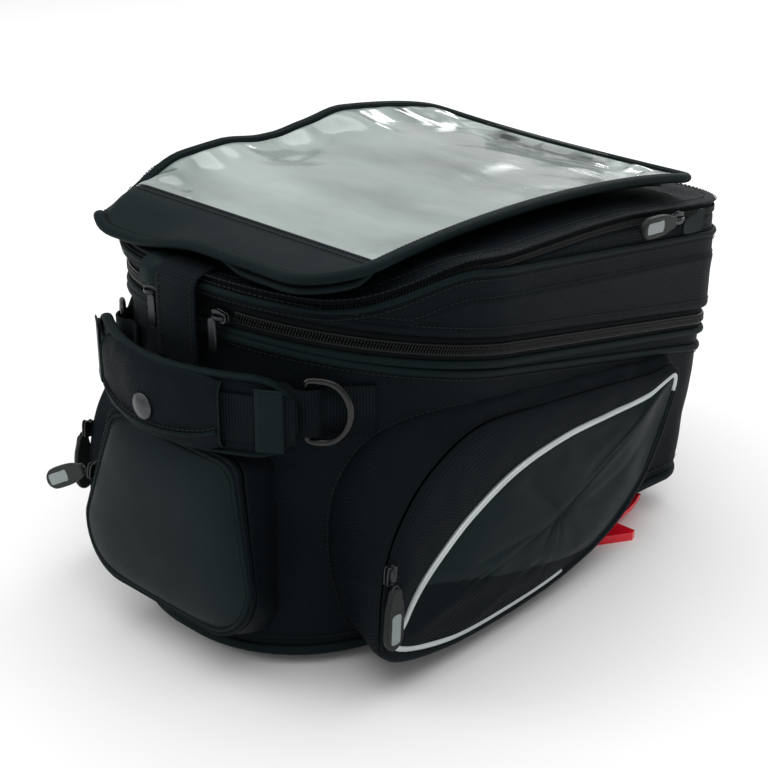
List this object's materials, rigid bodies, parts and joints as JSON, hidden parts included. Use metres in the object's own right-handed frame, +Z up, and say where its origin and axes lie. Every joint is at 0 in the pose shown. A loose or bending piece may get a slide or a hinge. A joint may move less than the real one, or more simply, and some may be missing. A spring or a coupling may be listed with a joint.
{
  "type": "motorcycle tank bag",
  "caption": "Wedge-shaped expandable soft bag with a hinged lid, a clear map pocket, side and rear pockets, a carrying handle and a docking plate.",
  "frame": {"origin": "on the flat base face, in the middle of the bag's width", "axes": "+X towards the bag's right side as its rider sees it, +Y towards the front of the motorcycle, +Z up"},
  "size_m": [0.3064, 0.4468, 0.2828],
  "materials": {
    "woven_nylon": "ribbed ballistic weave",
    "smooth_panel": "smooth padded coated cloth",
    "edge_binding": "folded tape",
    "webbing": "ribbed webbing",
    "zip_coil": "coil teeth on tape",
    "reflective_piping": "silver reflective cord",
    "clear_vinyl": "soft clear sheet",
    "puller_rubber": "moulded rubber",
    "dark_metal": "dark plated metal",
    "ring_plastic": "polished black",
    "red_plastic": "moulded gloss red",
    "base_plastic": "grained black"
  },
  "bodies": {
    "tub": {"tub_shell": "woven_nylon", "base_pan": "base_plastic", "base_board": "base_plastic", "tub_welt": "edge_binding", "expansion_zip_lower": "zip_coil", "side_pocket_gusset_right": "woven_nylon", "side_pocket_gusset_left": "woven_nylon", "rear_pocket_gusset": "woven_nylon", "ring_anchor_right": "webbing", "ring_anchor_left": "webbing", "dock_plate": "red_plastic", "dock_housing": "base_plastic"},
    "upper_section": {"rim_section": "woven_nylon", "expansion_sleeve": "woven_nylon", "rim_piping": "edge_binding", "expansion_zip_upper": "zip_coil", "lid_zip_garage": "smooth_panel"},
    "lid": {"lid_shell": "woven_nylon", "lid_zip": "zip_coil"},
    "map_pocket": {"map_front_panel": "smooth_panel", "map_window": "clear_vinyl", "map_binding": "edge_binding", "map_back_panel": "woven_nylon", "map_patch": "smooth_panel", "closure_strap": "webbing"},
    "handle": {"handle_pad": "woven_nylon", "handle_webbing": "webbing", "handle_wrap": "woven_nylon", "handle_keeper_right": "smooth_panel", "handle_keeper_left": "smooth_panel", "snap_button": "dark_metal"},
    "ring_right": {"d_ring_right": "ring_plastic"},
    "ring_left": {"d_ring_left": "ring_plastic"},
    "side_pocket_right": {"side_pocket_cover_right": "smooth_panel", "side_piping_right": "reflective_piping"},
    "side_pocket_left": {"side_pocket_cover_left": "smooth_panel", "side_piping_left": "reflective_piping"},
    "rear_pocket": {"rear_pocket_cover": "smooth_panel"},
    "lid_slider": {"lid_zip_slider": "dark_metal"},
    "lid_puller": {"lid_zip_puller": "puller_rubber"},
    "side_slider_right": {"side_zip_slider_right": "dark_metal"},
    "side_puller_right": {"side_zip_puller_right": "puller_rubber"},
    "side_slider_left": {"side_zip_slider_left": "dark_metal"},
    "side_puller_left": {"side_zip_puller_left": "puller_rubber"},
    "rear_slider": {"rear_zip_slider": "dark_metal"},
    "rear_puller": {"rear_zip_puller": "puller_rubber"},
    "expansion_slider_right": {"expansion_slider_right": "dark_metal"},
    "expansion_pull_right": {"expansion_pull_right": "dark_metal"},
    "expansion_slider_left": {"expansion_slider_left": "dark_metal"},
    "expansion_pull_left": {"expansion_pull_left": "dark_metal"},
    "release_lever": {"release_lever": "red_plastic"}
  },
  "joints": [
    {"name": "expand_lift", "type": "slide", "parent": "tub", "child": "upper_section", "axis": [0, 0, 1], "range_m": [0, 0.045]},
    {"name": "lid_open", "type": "hinge", "parent": "upper_section", "child": "lid", "pos_m": [0, 0.2115, 0.22761], "axis": [-1, 0, 0], "range_deg": [0, 100]},
    {"name": "map_pocket_lift", "type": "hinge", "parent": "lid", "child": "map_pocket", "pos_m": [0, 0.174, 0.2418], "axis": [-1, 0, 0], "range_deg": [0, 80]},
    {"name": "handle_lift", "type": "hinge", "parent": "tub", "child": "handle", "pos_m": [0, -0.18, 0.182], "axis": [-1, 0, 0], "range_deg": [0, 18]},
    {"name": "ring_right_swing", "type": "hinge", "parent": "tub", "child": "ring_right", "pos_m": [0.08439, -0.17611, 0.182], "axis": [0, 0, -1], "range_deg": [0, 70]},
    {"name": "ring_left_swing", "type": "hinge", "parent": "tub", "child": "ring_left", "pos_m": [-0.08439, -0.17611, 0.182], "axis": [0, 0, 1], "range_deg": [0, 70]},
    {"name": "side_pocket_right_open", "type": "hinge", "parent": "tub", "child": "side_pocket_right", "pos_m": [0.1394, 0, 0.008], "axis": [0, 1, 0], "range_deg": [0, 45]},
    {"name": "side_pocket_left_open", "type": "hinge", "parent": "tub", "child": "side_pocket_left", "pos_m": [-0.1394, 0, 0.008], "axis": [0, -1, 0], "range_deg": [0, 45]},
    {"name": "rear_pocket_open", "type": "hinge", "parent": "tub", "child": "rear_pocket", "pos_m": [0, -0.22347, 0.033], "axis": [1, 0, 0], "range_deg": [0, 70]},
    {"name": "lid_zip_travel", "type": "slide", "parent": "upper_section", "child": "lid_slider", "axis": [0.0484, -0.9941, 0.0974], "range_m": [0, 0.155]},
    {"name": "lid_puller_swing", "type": "hinge", "parent": "lid_slider", "child": "lid_puller", "pos_m": [0.14474, 0.11, 0.24333], "axis": [0, 0, 1], "range_deg": [0, 80]},
    {"name": "side_zip_right_travel", "type": "hinge", "parent": "side_pocket_right", "child": "side_slider_right", "pos_m": [0.144, -0.084, 0.074], "axis": [-1, 0, 0], "range_deg": [0, 75]},
    {"name": "side_puller_right_swing", "type": "hinge", "parent": "side_slider_right", "child": "side_puller_right", "pos_m": [0.1509, -0.1695, 0.084], "axis": [0, -1, 0], "range_deg": [0, 75]},
    {"name": "side_zip_left_travel", "type": "hinge", "parent": "side_pocket_left", "child": "side_slider_left", "pos_m": [-0.144, -0.084, 0.074], "axis": [-1, 0, 0], "range_deg": [0, 75]},
    {"name": "side_puller_left_swing", "type": "hinge", "parent": "side_slider_left", "child": "side_puller_left", "pos_m": [-0.1509, -0.1695, 0.084], "axis": [0, 1, 0], "range_deg": [0, 75]},
    {"name": "rear_zip_travel", "type": "slide", "parent": "tub", "child": "rear_slider", "axis": [0.2593, 0.1214, 0.9581], "range_m": [-0.027, 0.03]},
    {"name": "rear_puller_swing", "type": "hinge", "parent": "rear_slider", "child": "rear_puller", "pos_m": [-0.08372, -0.21611, 0.1], "axis": [0, -1, 0], "range_deg": [-40, 20]},
    {"name": "expansion_zip_right_travel", "type": "slide", "parent": "tub", "child": "expansion_slider_right", "axis": [0.9834, 0.177, -0.0398], "range_m": [0, 0.03]},
    {"name": "expansion_pull_right_swing", "type": "hinge", "parent": "expansion_slider_right", "child": "expansion_pull_right", "pos_m": [0.028, -0.1966, 0.2303], "axis": [-1, 0, 0], "range_deg": [0, 60]},
    {"name": "expansion_zip_left_travel", "type": "slide", "parent": "tub", "child": "expansion_slider_left", "axis": [-0.9834, 0.177, -0.0398], "range_m": [0, 0.03]},
    {"name": "expansion_pull_left_swing", "type": "hinge", "parent": "expansion_slider_left", "child": "expansion_pull_left", "pos_m": [-0.028, -0.1966, 0.2303], "axis": [-1, 0, 0], "range_deg": [0, 60]},
    {"name": "release_lever_pull", "type": "slide", "parent": "tub", "child": "release_lever", "axis": [0, 1, 0], "range_m": [0, 0.012], "stiffness_N_per_m": 300}
  ]
}
